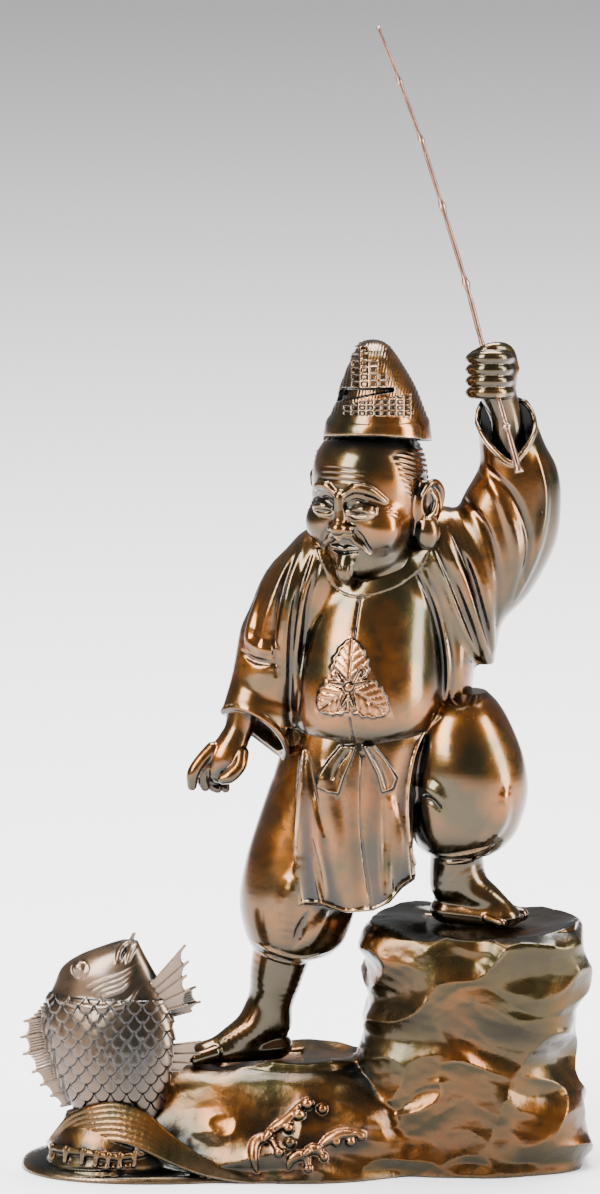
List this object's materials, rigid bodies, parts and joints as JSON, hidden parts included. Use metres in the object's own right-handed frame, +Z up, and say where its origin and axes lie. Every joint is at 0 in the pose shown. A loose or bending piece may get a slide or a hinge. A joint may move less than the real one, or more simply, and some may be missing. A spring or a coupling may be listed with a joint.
{
  "type": "ebisu figure",
  "caption": "Cast bronze ebisu standing with one foot on a rock, fishing rod raised, beside a sea bream that rises from a curling wave.",
  "frame": {"origin": "middle of the base's underside, on the surface it stands on", "axes": "+Z up, +X to the viewer's right when the statue is seen from its front, +Y to its back"},
  "size_m": [0.2489, 0.092, 0.5006],
  "materials": {
    "figure_bronze": "polished cast bronze with a brown patina, dark in its folds",
    "rock_bronze": "cast bronze, satin, mottled brown and orange patina",
    "bream_bronze": "cast bronze, grey-brown patina with brighter scale edges",
    "rod_bronze": "satin copper-coloured bronze"
  },
  "bodies": {
    "root": {"ebisu_figure": "figure_bronze", "rock_base": "rock_bronze", "sea_bream": "bream_bronze", "fishing_rod": "rod_bronze"}
  },
  "joints": []
}
